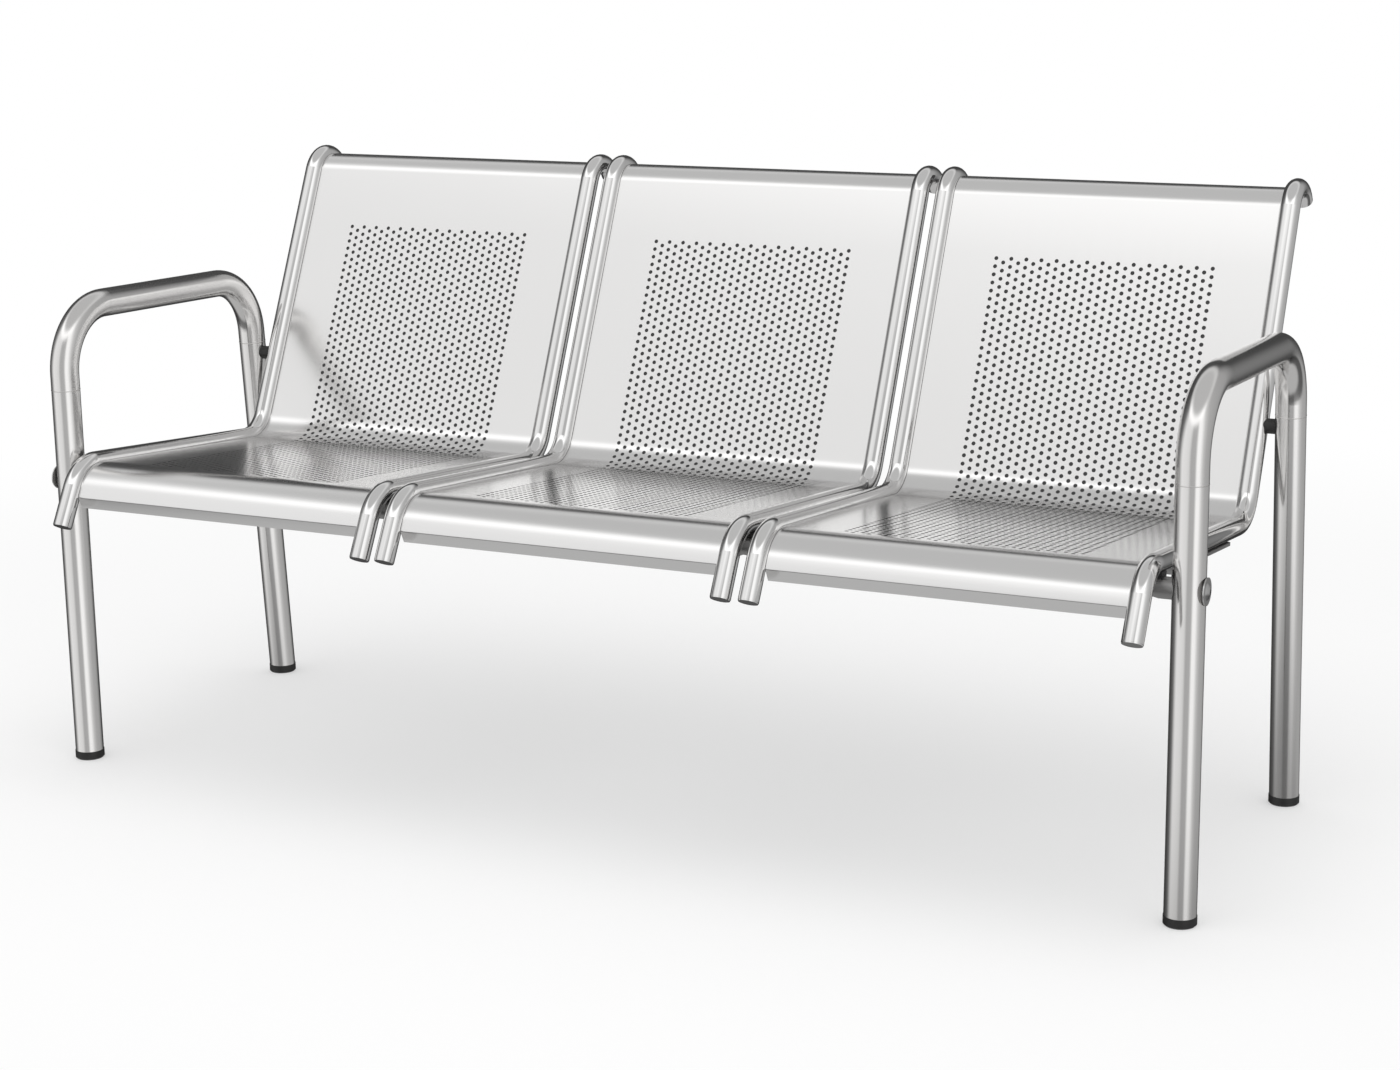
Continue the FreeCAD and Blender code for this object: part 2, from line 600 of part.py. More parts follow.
for label, (centre, half_width, bolts) in PLATES.items():
    terms = square_to_seat(centre, "rear", "Layout.plate_depth")
    terms["y"] = f"Layout.front_axis_y + {terms['y']}"
    body = place(keep(doc.addObject("PartDesign::Body", "Body"), label), **terms)
    outline = sketch_on_plane(body, "Outline", "XY_Plane")
    reach, front, rear = size(half_width), size("Sizes.plate_front"), size("Sizes.plate_rear")
    corners = [
        FreeCAD.Vector(-reach, -front, 0),
        FreeCAD.Vector(reach, -front, 0),
        FreeCAD.Vector(reach, rear, 0),
        FreeCAD.Vector(-reach, rear, 0),
    ]
    for start, end in zip(corners, corners[1:] + corners[:1]):
        outline.addGeometry(Part.LineSegment(start, end))
    for edge in range(4):
        outline.addConstraint(Sketcher.Constraint("Coincident", edge, 2, (edge + 1) % 4, 1))
    for kind, edge in (("Vertical", 1), ("Horizontal", 2), ("Vertical", 3)):
        outline.addConstraint(Sketcher.Constraint(kind, edge))
    outline.addConstraint(Sketcher.Constraint("Symmetric", 0, 1, 0, 2, -2))
    constrain(outline, "Distance", 0, expression=f"2 * {half_width}")
    constrain(outline, "Distance", 1, expression="Sizes.plate_front + Sizes.plate_rear")
    constrain(outline, "DistanceY", 0, 1, -1, 1, expression="Sizes.plate_front")
    for bolt in bolts:
        offset = f"{bolt} - ({centre})"
        hole = FreeCAD.Vector(size(offset), 0, 0)
        shape = Part.Circle(hole, FreeCAD.Vector(0, 0, 1), size(SEAT_BOLT_BORE))
        index = outline.addGeometry(shape)
        outline.addConstraint(Sketcher.Constraint("PointOnObject", index, 3, -1))
        constrain(outline, "DistanceX", -1, 1, index, 3, expression=offset)
        constrain(outline, "Radius", index, expression=SEAT_BOLT_BORE)
    pad = body.newObject("PartDesign::Pad", "Thickness")
    pad.Profile = outline
    pad.setExpression("Length", "Sizes.plate_thickness")
    doc.recompute()
    upright = [
        f"Edge{number}" for number, edge in enumerate(pad.Shape.Edges, start=1)
        if edge.Curve.TypeId == "Part::GeomLine" and len(edge.Vertexes) == 2
        and abs(edge.Length - size("Sizes.plate_thickness")) < 0.01
        and all(abs(vertex.X) > reach - 0.01 for vertex in edge.Vertexes)
    ]
    corner = body.newObject("PartDesign::Fillet", "Corners")
    corner.Base = (pad, upright)
    corner.setExpression("Radius", "Sizes.plate_corner")
    doc.recompute()

# Tube ends: flat discs welded on square to the tube
DISC = ("Layout.side_tube_radius - Sizes.cap_inset", "Sizes.cap_thickness")
FRONT_END = {"y": "Layout.front_end_y", "z": "Layout.front_end_z", "turn": "Layout.front_heading + 90"}
REAR_END = {"y": "Layout.rear_end_y", "z": "Layout.rear_end_z", "turn": "Layout.rear_heading - 90"}
group("front_tube_end_discs", [cylinder(*DISC, x=x, **FRONT_END) for label, x, sign in TUBES])
group("rear_tube_end_discs", [cylinder(*DISC, x=x, **REAR_END) for label, x, sign in TUBES])


# Seats to front cross tube: a saddle, a threaded insert and a bolt from below at every side tube.
# The bolt's head sits inside the cross tube, against its upper wall


def threaded_insert(axis=FreeCAD.Vector(1, 0, 0), **terms):
    """A round insert with a bolt bore, standing on its placement's origin."""
    shell = cylinder("Sizes.insert_diameter / 2", "Sizes.insert_length", axis=axis, **terms)
    return cut(shell, cylinder(SEAT_BOLT_BORE, "Sizes.insert_length", axis=axis, **terms))


def bolt_shank(x, mount, head_top, tip):
    """A seat bolt's shank, from the depth of its head's upper face to the depth of its tip."""
    return cylinder("Sizes.seat_bolt_diameter / 2", f"{head_top} - ({tip})",
                    **square_to_seat(x, mount, head_top))


def socket_bolt(x, head_top, tip):
    """A round-headed bolt with a hexagonal socket, inside the front cross tube."""
    foot = square_to_seat(x, "front", f"{head_top} + Sizes.front_bolt_head_height")
    head = cylinder("Sizes.front_bolt_head_diameter / 2", "Sizes.front_bolt_head_height", **foot)
    socket = hexagon("Sizes.bolt_socket_flats", "Sizes.front_bolt_socket_depth", **foot)
    return fuse(cut(head, socket), bolt_shank(x, "front", head_top, tip))


def hex_bolt(x, head_top, tip):
    """A hexagon-headed bolt from below the rear cross tube."""
    head = hexagon("Sizes.seat_bolt_head_flats", "Sizes.seat_bolt_head_height",
                   **square_to_seat(x, "rear", f"{head_top} + Sizes.seat_bolt_head_height"))
    return fuse(head, bolt_shank(x, "rear", head_top, tip))


def saddle(x):
    """A block between a side tube and the front cross tube, hollowed to both.

    It ends just in front of the seat run, where the tube starts to bend down.
    """
    block = doc.addObject("Part::Box", "Block")
    block.setExpression("Length", "Sizes.saddle_width")
    block.setExpression("Width", "Layout.saddle_front + Sizes.saddle_rear")
    block.setExpression("Height", "Sizes.saddle_height")
    depth = "Layout.side_tube_radius + (Sizes.saddle_thickness + Sizes.saddle_height) / 2"
    place(block, **square_to_seat(f"{x} - Sizes.saddle_width / 2", "front", depth,
                                  along="-Layout.saddle_front"))
    side_tube = cylinder("Layout.side_tube_radius + Sizes.joint_gap", "2 * Sizes.saddle_width",
                         **square_to_seat(x, "front", "0", along="-Sizes.saddle_width",
                                          turn="-90 - Sizes.seat_slope"))
    cross_tube = cylinder("Layout.cross_tube_radius + Sizes.joint_gap", "2 * Sizes.saddle_width",
                          axis=ALONG_X, x=f"{x} - Sizes.saddle_width", z="Layout.front_cross_z",
                          turn="90")
    hole = cylinder(INSERT_BORE, "4 * Sizes.saddle_height",
                    **square_to_seat(x, "front", f"{depth} + Sizes.saddle_height"))
    return cut(block, side_tube, cross_tube, hole)


UNDER_TUBE = "Layout.side_tube_radius"
CROSS_UNDERSIDE = "Layout.cross_tube_radius + Sizes.joint_gap"
NUT_BASE = "Layout.plate_top_depth"

group("front_saddles", [saddle(x) for label, x, sign in TUBES])
group("side_tube_inserts",
      [threaded_insert(**square_to_seat(x, "front", UNDER_TUBE)) for label, x, sign in TUBES])
group("front_seat_bolts",
      [socket_bolt(x, "Layout.front_head_depth", f"{UNDER_TUBE} - Sizes.insert_length")
       for label, x, sign in TUBES])

# Seats to rear cross tube: a bolt from below and a nut on the seat plate
group("rear_seat_bolts",
      [hex_bolt(x, f"Layout.rear_mount_depth + {CROSS_UNDERSIDE}",
                f"{NUT_BASE} - Sizes.nut_height - Sizes.bolt_tail") for x in PLATE_BOLTS])
group("rear_seat_nuts",
      [cut(hexagon("Sizes.seat_bolt_head_flats", "Sizes.nut_height",
                   **square_to_seat(x, "rear", NUT_BASE)),
           cylinder(SEAT_BOLT_BORE, "Sizes.nut_height", **square_to_seat(x, "rear", NUT_BASE)))
       for x in PLATE_BOLTS])


def facing(sign, x, **terms):
    """Placement terms of a point on one side of the bench, with Z pointing outward along X."""
    return {"axis": ALONG_X, "x": f"{sign} * ({x})", "turn": f"{sign} * 90", **terms}


# Rear cross tube's end caps: a flange over the tube's end and a plug inside it
CROSS_BORE = "Layout.cross_tube_radius - Sizes.cross_tube_wall - Sizes.joint_gap"
REAR_AXIS = {"y": "Layout.rear_cross_y", "z": "Layout.rear_cross_z"}
group("rear_cross_tube_caps",
      [fuse(cylinder("Layout.cross_tube_radius", "Sizes.rear_cap_thickness",
                     **facing(sign, "Layout.rear_cross_half", **REAR_AXIS)),
            cylinder(CROSS_BORE, "Sizes.rear_cap_plug_length",
                     **facing(sign, "Layout.rear_cross_half - Sizes.rear_cap_plug_length",
                              **REAR_AXIS)))
       for sign in SIDES.values()])

# Leg frames to front cross tube: a threaded plug in the tube, a washer and a dome-headed bolt
FRONT_AXIS = {"z": "Layout.front_cross_z"}


def end_plug(sign):
    """A bored plug coped with the tube's end."""
    bar = cylinder(CROSS_BORE, "Sizes.plug_length + Layout.leg_radius",
                   **facing(sign, "Layout.plug_x", **FRONT_AXIS))
    leg = cylinder("Layout.leg_radius + Sizes.joint_gap", "2 * Sizes.leg_od",
                   x=f"{sign} * Layout.leg_x", z="Layout.front_cross_z - Sizes.leg_od")
    hole = cylinder(LEG_BOLT_BORE, "Sizes.leg_od", **facing(sign, "Layout.plug_x", **FRONT_AXIS))
    return cut(bar, leg, hole)


def leg_bolt(sign):
    """A dome-headed bolt with a hexagonal socket, from the washer to the plug's inner end."""
    head_x = "Layout.washer_x + Sizes.leg_washer_thickness"
    dome = doc.addObject("Part::Sphere", "Dome")
    dome.setExpression("Radius", "Layout.dome_radius")
    dome.setExpression("Angle1", "asin(1 - Sizes.leg_bolt_head_height / Layout.dome_radius)")
    place(dome, **facing(sign, f"{head_x} + Sizes.leg_bolt_head_height - Layout.dome_radius",
                         **FRONT_AXIS))
    socket_x = f"{head_x} + Sizes.leg_bolt_head_height - Sizes.leg_bolt_socket_depth"
    socket = hexagon("Sizes.bolt_socket_flats", "Sizes.leg_bolt_head_height",
                     **facing(sign, socket_x, **FRONT_AXIS))
    shank = cylinder("Sizes.leg_bolt_diameter / 2", f"{head_x} - Layout.plug_x",
                     **facing(sign, "Layout.plug_x", **FRONT_AXIS))
    return fuse(cut(dome, socket), shank)


def leg_washer(sign):
    """A flat washer on the outside of the front leg."""
    terms = facing(sign, "Layout.washer_x", **FRONT_AXIS)
    disc = cylinder("Sizes.leg_washer_diameter / 2", "Sizes.leg_washer_thickness", **terms)
    return cut(disc, cylinder(LEG_BOLT_BORE, "Sizes.leg_washer_thickness", **terms))


group("front_cross_tube_plugs", [end_plug(sign) for sign in SIDES.values()])
group("leg_bolts", [leg_bolt(sign) for sign in SIDES.values()])
group("leg_washers", [leg_washer(sign) for sign in SIDES.values()])

# Leg frames to the backs: a spacer hollowed to both tubes, with a stud between two inserts
JOINT = {"y": "Layout.joint_y", "z": "Sizes.joint_height"}


def spacer(sign):
    """A round block between the end side tube and the rear leg."""
    bar = cylinder("Sizes.spacer_diameter / 2", "Layout.leg_x - Layout.end_tube_x",
                   **facing(sign, "Layout.end_tube_x", **JOINT))
    back_tube = cylinder("Layout.side_tube_radius + Sizes.joint_gap", "2 * Sizes.spacer_diameter",
                         x=f"{sign} * Layout.end_tube_x",
                         y="Layout.joint_y - Sizes.spacer_diameter * cos(Layout.back_heading)",
                         z="Sizes.joint_height - Sizes.spacer_diameter * sin(Layout.back_heading)",
                         turn="-Sizes.back_lean")
    rear_leg = cylinder("Layout.leg_radius + Sizes.joint_gap", "2 * Sizes.spacer_diameter",
                        x=f"{sign} * Layout.leg_x",
                        y="Layout.joint_y + Sizes.spacer_diameter * sin(Layout.splay)",
                        z="Sizes.joint_height - Sizes.spacer_diameter * cos(Layout.splay)",
                        turn="Layout.splay")
    hole = cylinder(INSERT_BORE, "Sizes.leg_od", **facing(sign, "Layout.end_tube_x", **JOINT))
    return cut(bar, back_tube, rear_leg, hole)


BACK_INSERT = "Layout.end_tube_x + Layout.side_tube_radius - Sizes.insert_length"
LEG_INSERT = "Layout.leg_x - Layout.leg_radius"
group("rear_leg_spacers", [spacer(sign) for sign in SIDES.values()])
group("back_tube_inserts",
      [threaded_insert(**facing(sign, BACK_INSERT, **JOINT)) for sign in SIDES.values()])
group("rear_leg_inserts",
      [threaded_insert(**facing(sign, LEG_INSERT, **JOINT)) for sign in SIDES.values()])
group("rear_leg_studs",
      [cylinder("Sizes.stud_diameter / 2", f"{LEG_INSERT} + Sizes.insert_length - ({BACK_INSERT})",
                **facing(sign, BACK_INSERT, **JOINT)) for sign in SIDES.values()])

doc.recompute()

for item in doc.Objects:
    if "Invalid" in item.State or "Error" in item.State:
        raise RuntimeError(f"{item.Name} ({item.Label}) did not compute")
os.makedirs("parts", exist_ok=True)
for part in parts:
    if part.Shape.isNull() or not part.Shape.isValid():
        raise RuntimeError(f"{part.Label} has no sound shape")
    part.Shape.exportStep(f"parts/{part.Label}.step")
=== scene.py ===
"""Three-seat waiting bench: formed perforated sheets between polished side tubes on tubular leg frames."""
import logging
import math
from dataclasses import dataclass, field
from enum import Enum
from typing import Callable

import bmesh
import bpy
from mathutils import Matrix, Vector


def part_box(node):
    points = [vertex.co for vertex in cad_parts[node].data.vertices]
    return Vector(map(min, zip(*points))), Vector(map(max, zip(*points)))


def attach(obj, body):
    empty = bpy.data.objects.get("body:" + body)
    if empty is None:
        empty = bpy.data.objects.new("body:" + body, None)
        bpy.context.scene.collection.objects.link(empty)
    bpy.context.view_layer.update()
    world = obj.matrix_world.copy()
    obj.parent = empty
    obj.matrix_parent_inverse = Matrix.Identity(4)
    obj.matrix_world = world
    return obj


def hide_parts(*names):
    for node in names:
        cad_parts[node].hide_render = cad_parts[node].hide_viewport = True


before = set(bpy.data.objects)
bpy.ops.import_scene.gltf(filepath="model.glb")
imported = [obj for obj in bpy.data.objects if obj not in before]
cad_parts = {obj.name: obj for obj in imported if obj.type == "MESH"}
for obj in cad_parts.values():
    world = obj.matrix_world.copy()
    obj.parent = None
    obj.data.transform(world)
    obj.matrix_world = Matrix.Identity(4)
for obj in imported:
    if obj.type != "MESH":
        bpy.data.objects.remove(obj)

log = logging.getLogger("bench")
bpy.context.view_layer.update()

MM = 0.001
BODY = "root"


class Seat(Enum):
    """The three seats, named as someone who faces the bench sees them."""

    LEFT = "left"
    MIDDLE = "middle"
    RIGHT = "right"


class Side(Enum):
    """The two ends of the bench, or the two sides of a seat, for someone who faces it."""

    LEFT = "left"
    RIGHT = "right"


class Lay(Enum):
    """Direction of the fine lines that the finishing belt leaves.

    Each value scales the noise along X, Y and Z, so the lines run along the small number.
    """

    ACROSS = (1.0 / 90.0, 1.0, 1.0)
    UPRIGHT = (1.0, 1.0, 1.0 / 90.0)
    NONE = (1.0 / 3.0, 1.0 / 3.0, 1.0 / 3.0)


# Shader maths


class Graph:
    """The nodes of one material or of the world."""

    def __init__(self, tree: bpy.types.NodeTree) -> None:
        """Empties the tree.

        Args:
            tree: Node tree of a material or of the world.
        """
        self.tree = tree
        tree.nodes.clear()

    def node(self, kind: str, settings: dict[str, object] | None = None,
             **inputs: object) -> bpy.types.Node:
        """Adds one node, sets it up and feeds its sockets.

        Args:
            kind: Blender's name for the node type.
            settings: Properties of the node, set before its sockets are fed.
            **inputs: Socket names, with spaces as underscores, or numbers after an n, and what
                each gets: a Value or a plain number, colour or vector.

        Returns:
            The new node.
        """
        made = self.tree.nodes.new(kind)
        for name, setting in (settings or {}).items():
            if name == "stops":
                fill_ramp(made.color_ramp, setting)
            else:
                setattr(made, name, setting)
        for name, given in inputs.items():
            numbered = name[0] == "n" and name[1:].isdigit()
            socket = made.inputs[int(name[1:]) if numbered else name.replace("_", " ")]
            if isinstance(given, Value):
                self.tree.links.new(given.socket, socket)
            else:
                socket.default_value = given
        return made

    def value(self, kind: str, settings: dict[str, object] | None = None, output: str | int = 0,
              **inputs: object) -> "Value":
        """Adds one node and returns one of its outputs.

        Args:
            kind: Blender's name for the node type.
            settings: Properties of the node.
            output: Name or number of the output.
            **inputs: As for node.

        Returns:
            The output as a Value.
        """
        return Value(self, self.node(kind, settings, **inputs).outputs[output])


@dataclass(frozen=True)
class Value:
    """A socket's number in a shader, on which Python's arithmetic adds Math nodes."""

    graph: Graph
    socket: bpy.types.NodeSocket

    def math(self, operation: str, *terms: object) -> "Value":
        """Adds a Math node.

        Args:
            operation: Blender's name for the operation.
            *terms: All operands in order, Values or numbers.

        Returns:
            The result.
        """
        inputs = {f"n{place}": term for place, term in enumerate(terms)}
        return self.graph.value("ShaderNodeMath", {"operation": operation}, **inputs)

    def __add__(self, other: object) -> "Value":
        """self + other."""
        return self.math("ADD", self, other)

    def __radd__(self, other: float) -> "Value":
        """other + self."""
        return self.math("ADD", other, self)

    def __sub__(self, other: object) -> "Value":
        """self - other."""
        return self.math("SUBTRACT", self, other)

    def __rsub__(self, other: float) -> "Value":
        """other - self."""
        return self.math("SUBTRACT", other, self)

    def __mul__(self, other: object) -> "Value":
        """self * other."""
        return self.math("MULTIPLY", self, other)

    def __rmul__(self, other: float) -> "Value":
        """other * self."""
        return self.math("MULTIPLY", other, self)

    def step(self, low: float, high: float) -> "Value":
        """Smooth rise from 0 at low to 1 at high.

        Args:
            low: Where the rise starts.
            high: Where it ends.

        Returns:
            The risen value, between 0 and 1.
        """
        return self.graph.value("ShaderNodeMapRange", {"interpolation_type": "SMOOTHSTEP"},
                                Value=self, From_Min=low, From_Max=high)

    def blend(self, first: tuple[float, ...], second: tuple[float, ...]) -> "Value":
        """Mixes two colours by self.

        Args:
            first: Colour where self is 0.
            second: Colour where self is 1.

        Returns:
            The mixed colour.
        """
        return self.graph.value("ShaderNodeMix", {"data_type": "RGBA"}, 2,
                                n0=self, n6=first, n7=second)


def fill_ramp(ramp: bpy.types.ColorRamp, stops: list[tuple[float, float]]) -> None:
    """Gives a colour ramp grey stops.

    Args:
        ramp: The ramp of a Color Ramp node.
        stops: Places and grey levels, in order.
    """
    while len(ramp.elements) < len(stops):
        ramp.elements.new(1.0)
    for element, (place, level) in zip(ramp.elements, stops):
        element.position = place
        element.color = (level, level, level, 1.0)


def grey(level: float, warmth: float = 0.0) -> tuple[float, float, float, float]:
    """A grey colour.

    Args:
        level: Brightness in linear light.
        warmth: Share by which red is raised and blue lowered.

    Returns:
        The colour with full opacity.
    """
    return (level * (1.0 + warmth), level, level * (1.0 - warmth), 1.0)


# Finishes


@dataclass(frozen=True)
class Steel:
    """A bare stainless steel finish: metal with belt lines, faint cloudiness and handling marks.

    level is the metal's brightness in linear light, and cloud, line_share and smear say how much
    each mark changes its tone or its roughness.
    """

    name: str
    level: float
    roughness: float
    lay: Lay = Lay.NONE
    warmth: float = 0.006
    cloud: float = 0.04
    line_depth: float = 0.0
    line_share: float = 0.03
    line_width: float = 0.6 * MM
    smear: float = 0.04
    contrast: float = 0.14
    clouds_per_metre: float = 9.0
    smears_per_metre: float = 46.0

    def material(self) -> bpy.types.Material:
        """Builds the material.

        Returns:
            The new material.
        """
        made = bpy.data.materials.new(self.name)
        made.use_nodes = True
        graph = Graph(made.node_tree)
        place = graph.value("ShaderNodeTexCoord", output="Object")
        lines_place = graph.value("ShaderNodeMapping", Vector=place, Scale=self.lay.value)
        lines = graph.value("ShaderNodeTexNoise", output=0, Vector=lines_place,
                            Scale=1.0 / self.line_width, Detail=3.0, Roughness=0.6)
        cloud = graph.value("ShaderNodeTexNoise", output=0, Vector=place,
                            Scale=self.clouds_per_metre, Detail=4.0, Roughness=0.55)
        smears = graph.value("ShaderNodeTexNoise", output=0, Vector=place,
                             Scale=self.smears_per_metre, Detail=5.0, Roughness=0.6)
        tone = (cloud - 0.5) * self.cloud * 2.0 + (lines - 0.5) * self.line_share * 2.0 + 0.5
        rough = (smears - 0.5) * self.smear + (lines - 0.5) * self.line_share + self.roughness
        colour = tone.blend(grey(self.level * (1.0 - self.contrast), self.warmth),
                            grey(self.level * (1.0 + self.contrast), self.warmth))
        shader = {"Base_Color": colour, "Roughness": rough, "Metallic": 1.0}
        if self.line_depth:
            shader["Normal"] = graph.value("ShaderNodeBump", Height=lines, Strength=1.0,
                                           Distance=self.line_depth)
        surface = graph.value("ShaderNodeBsdfPrincipled", **shader)
        graph.node("ShaderNodeOutputMaterial", Surface=surface)
        return made


@dataclass(frozen=True)
class Moulding:
    """A black moulded plastic with a fine spark-eroded grain and rubbed, greyer high spots."""

    name: str
    level: float
    roughness: float
    grain_depth: float = 0.05 * MM
    grain_width: float = 0.7 * MM
    dust_per_metre: float = 70.0
    rubbed: float = 1.9

    def material(self) -> bpy.types.Material:
        """Builds the material.

        Returns:
            The new material.
        """
        made = bpy.data.materials.new(self.name)
        made.use_nodes = True
        graph = Graph(made.node_tree)
        place = graph.value("ShaderNodeTexCoord", output="Object")
        grain = graph.value("ShaderNodeTexNoise", output=0, Vector=place,
                            Scale=1.0 / self.grain_width, Detail=2.0, Roughness=0.5)
        dust = graph.value("ShaderNodeTexNoise", output=0, Vector=place,
                           Scale=self.dust_per_metre, Detail=4.0, Roughness=0.6)
        colour = dust.step(0.45, 0.75).blend(grey(self.level, 0.02),
                                             grey(self.level * self.rubbed, 0.03))
        rough = (dust - 0.5) * 0.12 + (grain - 0.5) * 0.08 + self.roughness
        relief = graph.value("ShaderNodeBump", Height=grain, Strength=0.6, Distance=self.grain_depth)
        surface = graph.value("ShaderNodeBsdfPrincipled", Base_Color=colour, Roughness=rough,
                              Normal=relief)
        graph.node("ShaderNodeOutputMaterial", Surface=surface)
        return made


POLISHED_TUBE = Steel("polished_tube_steel", level=0.78, roughness=0.06, cloud=0.03, smear=0.03,
                      line_share=0.015)
SATIN_SHEET = Steel("satin_sheet_steel", level=0.78, roughness=0.19, lay=Lay.ACROSS, cloud=0.02,
                    smear=0.01, line_depth=0.001 * MM, line_share=0.02)
SATIN_TUBE = Steel("satin_tube_steel", level=0.74, roughness=0.16, lay=Lay.UPRIGHT, warmth=0.012,
                   smear=0.02, line_share=0.02)
# Underframe steel, darker and rougher than the other steel parts.
DARK_STEEL = Steel("mill_steel", level=0.30, roughness=0.38, warmth=0.01, cloud=0.12, smear=0.12)
# Cut edges and hole walls: rough steel, darkened nearly to black as painted shade in the holes.
CUT_EDGE_SHADE = Steel("cut_edge_steel_painted_shade", level=0.10, roughness=0.55, cloud=0.2, smear=0.1)
WELD_STEEL = Steel("weld_steel", level=0.72, roughness=0.36, warmth=0.02, cloud=0.2, smear=0.2)
FASTENER_STEEL = Steel("fastener_steel", level=0.58, roughness=0.3, cloud=0.06, smear=0.1)
BLACK_PLASTIC = Moulding("black_plastic", level=0.012, roughness=0.48)


# Modelling by hand


def only(*objects: bpy.types.Object) -> None:
    """Selects these objects and nothing else, the first as the active one.

    Args:
        *objects: Objects to select.
    """
    if bpy.context.object and bpy.context.object.mode != "OBJECT":
        bpy.ops.object.mode_set(mode="OBJECT")
    bpy.ops.object.select_all(action="DESELECT")
    for thing in objects:
        thing.select_set(True)
    bpy.context.view_layer.objects.active = objects[0]


def apply_modifier(piece: bpy.types.Object, kind: str, **settings: object) -> None:
    """Adds a modifier to a piece and applies it.

    Args:
        piece: The piece.
        kind: Blender's name for the modifier type.
        **settings: Properties of the modifier.
    """
    only(piece)
    bpy.ops.object.modifier_add(type=kind)
    modifier = piece.modifiers[-1]
    for name, setting in settings.items():
        setattr(modifier, name, setting)
    bpy.ops.object.modifier_apply(modifier=modifier.name)


def apply_place(piece: bpy.types.Object) -> None:
    """Moves a piece's place, turn and scale into its mesh.

    Args:
        piece: The piece.
    """
    only(piece)
    bpy.ops.object.transform_apply(location=True, rotation=True, scale=True)


def duplicate(piece: bpy.types.Object, name: str) -> bpy.types.Object:
    """Copies a piece with its own mesh.

    Args:
        piece: What is copied.
        name: Name of the copy.

    Returns:
        The copy.
    """
    only(piece)
    bpy.ops.object.duplicate(linked=False)
    copy = bpy.context.object
    copy.name = name
    copy.data.name = name
    return copy


def pick_edges(piece: bpy.types.Object, wanted: Callable[[bmesh.types.BMEdge], bool]) -> int:
    """Selects edges in edit mode by a test.

    Args:
        piece: The piece, in edit mode.
        wanted: Says whether an edge is selected.

    Returns:
        How many edges are selected.
    """
    bpy.ops.mesh.select_mode(type="EDGE")
    bpy.ops.mesh.select_all(action="DESELECT")
    mesh = bmesh.from_edit_mesh(piece.data)
    for edge in mesh.edges:
        if wanted(edge):
            edge.select_set(True)
    bmesh.update_edit_mesh(piece.data)
    return sum(edge.select for edge in mesh.edges)


def middle(edge: bmesh.types.BMEdge) -> Vector:
    """Half-way point of an edge."""
    return (edge.verts[0].co + edge.verts[1].co) / 2.0


def draw_out(axis: int, place: float) -> None:
    """Extrudes the selected edges and lays the new ones on one line.

    Args:
        axis: 0 for a line at one length along the sheet, 1 for one across it.
        place: The line's place on that axis.
    """
    flat = [1.0, 1.0, 1.0]
    flat[axis] = 0.0
    centre = [0.0, 0.0, 0.0]
    centre[axis] = place
    bpy.ops.mesh.extrude_region_move()
    bpy.ops.transform.resize(value=flat, center_override=centre)


# Seats


@dataclass(frozen=True)
class Run:
    """A straight stretch of the seat's side outline.

    heading is in degrees up from level towards the rear, length in metres.
    """

    heading: float
    length: float


@dataclass
class SeatOutline:
    """Side outline of a formed sheet, from the hem under its front edge to the curl at its top."""

    front_run_start: tuple[float, float]
    runs: list[Run] = field(default_factory=lambda: [
        Run(115.0, 16 * MM), Run(61.0, 12 * MM), Run(-5.2, 345 * MM),
        Run(64.8, 374 * MM), Run(-43.2, 4 * MM),
    ])
    radii: list[float] = field(default_factory=lambda: [3 * MM, 50 * MM, 50 * MM, 35 * MM])
    arc_step: float = 1.5

    def arcs(self) -> list[float]:
        """Developed length of each bend.

        Returns:
            The lengths, in metres.
        """
        turns = [abs(after.heading - before.heading)
                 for before, after in zip(self.runs, self.runs[1:])]
        return [math.radians(turn) * radius for turn, radius in zip(turns, self.radii)]

    def stations(self) -> list[float]:
        """Developed length at the start and end of every run.

        Returns:
            Two lengths for each run, in metres from the hem's free edge.
        """
        found, reached = [], 0.0
        for run, arc in zip(self.runs, self.arcs() + [0.0]):
            found += [reached, reached + run.length]
            reached += run.length + arc
        return found

    def points(self) -> list[Vector]:
        """Points along the outline, in the plane of depth and height.

        Returns:
            Points with depth as x and height as y, from the hem's free edge.
        """
        spot = Vector((0.0, 0.0, 0.0))
        heading = self.runs[0].heading
        found = [spot.copy()]
        seat_start = 0
        for index, run in enumerate(self.runs):
            if index == 2:
                seat_start = len(found) - 1
            spot += self.direction(heading) * run.length
            found.append(spot.copy())
            if index == len(self.radii):
                break
            turn = self.runs[index + 1].heading - heading
            steps = max(2, math.ceil(abs(turn) / self.arc_step))
            chord = 2.0 * self.radii[index] * math.sin(math.radians(abs(turn) / steps) / 2.0)
            for _ in range(steps):
                spot += self.direction(heading + turn / steps / 2.0) * chord
                heading += turn / steps
                found.append(spot.copy())
        shift = Vector((*self.front_run_start, 0.0)) - found[seat_start]
        return [point + shift for point in found]

    def bend(self, sheet: bpy.types.Object) -> None:
        """Bends a flat sheet along the outline.

        Args:
            sheet: The flat sheet, its length along X. It ends on the bench's middle plane.
        """
        curve = bpy.data.curves.new("seat_outline", "CURVE")
        curve.dimensions = "2D"
        points = self.points()
        spline = curve.splines.new("POLY")
        spline.points.add(len(points) - 1)
        for target, point in zip(spline.points, points):
            target.co = (*point, 1.0)
        path = bpy.data.objects.new("seat_outline", curve)
        bpy.context.scene.collection.objects.link(path)
        sheet.rotation_euler = (math.radians(90.0), 0.0, 0.0)
        apply_place(sheet)
        apply_modifier(sheet, "CURVE", object=path, deform_axis="POS_X")
        sheet.rotation_euler = (math.radians(90.0), 0.0, math.radians(90.0))
        apply_place(sheet)
        bpy.data.objects.remove(path)
        bpy.data.curves.remove(curve)

    @staticmethod
    def direction(heading: float) -> Vector:
        """Unit vector of a heading, depth as x and height as y."""
        return Vector((math.cos(math.radians(heading)), math.sin(math.radians(heading)), 0.0))


